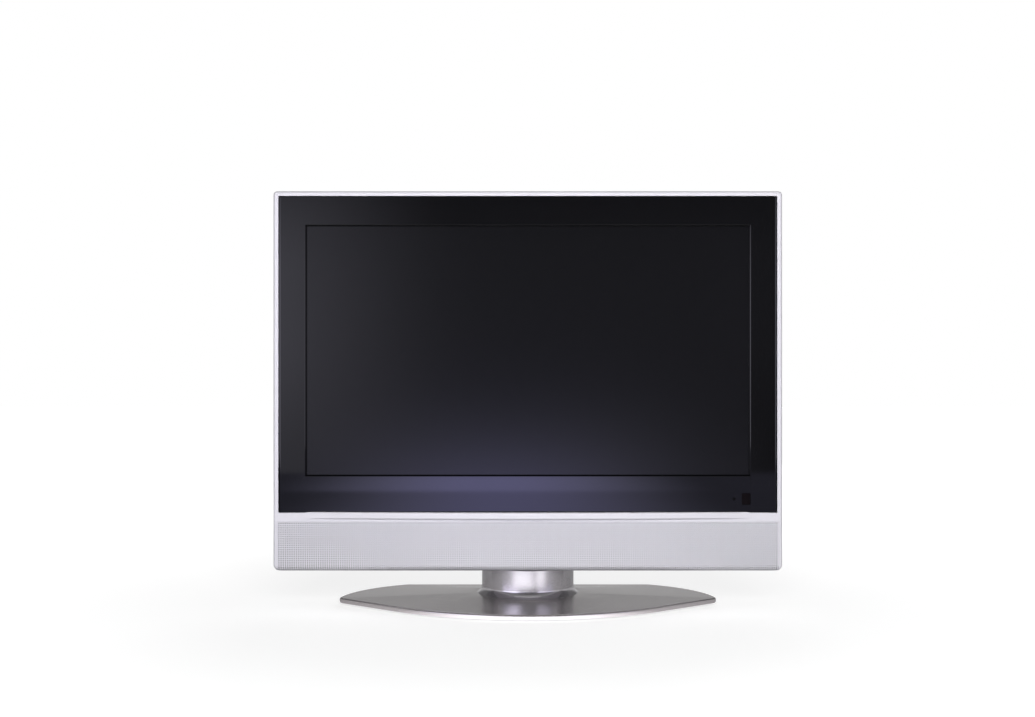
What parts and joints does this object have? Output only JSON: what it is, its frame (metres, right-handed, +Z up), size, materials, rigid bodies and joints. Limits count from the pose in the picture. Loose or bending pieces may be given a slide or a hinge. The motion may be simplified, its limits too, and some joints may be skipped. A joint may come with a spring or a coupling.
{
  "type": "flat screen tv",
  "caption": "Flat screen television: gloss black bezel in a silver frame, perforated speaker bar, top keys, rear sockets and a swivelling crescent stand.",
  "frame": {"origin": "on the table, under the middle of the overall box", "axes": "+X to the viewer's right, +Y away from the viewer, +Z up"},
  "size_m": [0.662, 0.25, 0.5438],
  "materials": {
    "silver_plastic": "satin silver lacquer",
    "stand_plastic": "satin silver lacquer",
    "black_gloss_plastic": "polished piano black",
    "ir_plastic": "dark red infrared window",
    "clear_plastic": "clear light pipe",
    "screen_glass": "dark screen with a fine anti-glare surface",
    "grey_plastic": "fine-grained moulded grey",
    "key_plastic": "satin grey",
    "black_steel_screws": "blackened",
    "zinc_steel": "zinc plated",
    "black_painted_steel": "black paint",
    "tray_aluminium": "plain sheet",
    "rubber": "matt",
    "white_plastic": "matt white",
    "bronze": "sintered bronze",
    "lamp_glass": "phosphor-coated tube",
    "circuit_board": "solder mask",
    "transformer_tape": "winding tape",
    "black_plastic": "moulded black",
    "blue_plastic": "moulded blue",
    "capacitor_sleeve": "shrink sleeve",
    "cone_paper": "black paper",
    "magnet_iron": "ferrite"
  },
  "bodies": {
    "stand": {"base_cover": "stand_plastic", "base_weight": "black_painted_steel", "rubber_feet": "rubber", "base_screws": "zinc_steel", "neck_cover": "stand_plastic", "neck_post": "black_painted_steel", "swivel_shaft": "zinc_steel", "thrust_washer": "white_plastic", "swivel_nut": "zinc_steel"},
    "head": {"front_frame": "silver_plastic", "speaker_grille": "silver_plastic", "bezel": "black_gloss_plastic", "ir_window": "ir_plastic", "led_lens": "clear_plastic", "lcd_cell": "screen_glass", "rear_cover": "grey_plastic", "cover_screws": "black_steel_screws", "board_screws": "zinc_steel", "wall_mount_posts": "zinc_steel", "chassis_rails": "zinc_steel", "panel_brackets": "zinc_steel", "terminal_plate": "zinc_steel", "tuner_can": "zinc_steel", "hdmi_socket": "zinc_steel", "stand_bracket": "black_painted_steel", "speaker_baskets": "black_painted_steel", "backlight_pan": "tray_aluminium", "lcd_frame": "tray_aluminium", "main_heat_sink": "tray_aluminium", "power_heat_sinks": "tray_aluminium", "optical_sheets": "white_plastic", "lamp_holders": "white_plastic", "reflector": "white_plastic", "lvds_ribbon": "white_plastic", "swivel_bush": "bronze", "lamp_tubes": "lamp_glass", "ir_board": "circuit_board", "inverter_board": "circuit_board", "tcon_board": "circuit_board", "main_board": "circuit_board", "power_board": "circuit_board", "key_board": "circuit_board", "inverter_coils": "transformer_tape", "power_transformer": "transformer_tape", "scart_sockets": "black_plastic", "ac_inlet": "black_plastic", "av_jacks": "black_plastic", "vga_socket": "blue_plastic", "bulk_capacitors": "capacitor_sleeve", "speaker_cones": "cone_paper", "speaker_magnets": "magnet_iron"},
    "power_key_body": {"power_key": "key_plastic"},
    "source_key_body": {"source_key": "key_plastic"},
    "menu_key_body": {"menu_key": "key_plastic"},
    "volume_down_key_body": {"volume_down_key": "key_plastic"},
    "volume_up_key_body": {"volume_up_key": "key_plastic"},
    "channel_down_key_body": {"channel_down_key": "key_plastic"},
    "channel_up_key_body": {"channel_up_key": "key_plastic"}
  },
  "joints": [
    {"name": "head_swivel", "type": "hinge", "parent": "stand", "child": "head", "pos_m": [0, 0.042, 0.052], "axis": [0, 0, 1], "range_deg": [-20, 20]},
    {"name": "power_key_press", "type": "slide", "parent": "head", "child": "power_key_body", "axis": [0, 0, -1], "range_m": [0, 0.001], "stiffness_N_per_m": 800},
    {"name": "source_key_press", "type": "slide", "parent": "head", "child": "source_key_body", "axis": [0, 0, -1], "range_m": [0, 0.001], "stiffness_N_per_m": 800},
    {"name": "menu_key_press", "type": "slide", "parent": "head", "child": "menu_key_body", "axis": [0, 0, -1], "range_m": [0, 0.001], "stiffness_N_per_m": 800},
    {"name": "volume_down_key_press", "type": "slide", "parent": "head", "child": "volume_down_key_body", "axis": [0, 0, -1], "range_m": [0, 0.001], "stiffness_N_per_m": 800},
    {"name": "volume_up_key_press", "type": "slide", "parent": "head", "child": "volume_up_key_body", "axis": [0, 0, -1], "range_m": [0, 0.001], "stiffness_N_per_m": 800},
    {"name": "channel_down_key_press", "type": "slide", "parent": "head", "child": "channel_down_key_body", "axis": [0, 0, -1], "range_m": [0, 0.001], "stiffness_N_per_m": 800},
    {"name": "channel_up_key_press", "type": "slide", "parent": "head", "child": "channel_up_key_body", "axis": [0, 0, -1], "range_m": [0, 0.001], "stiffness_N_per_m": 800}
  ]
}
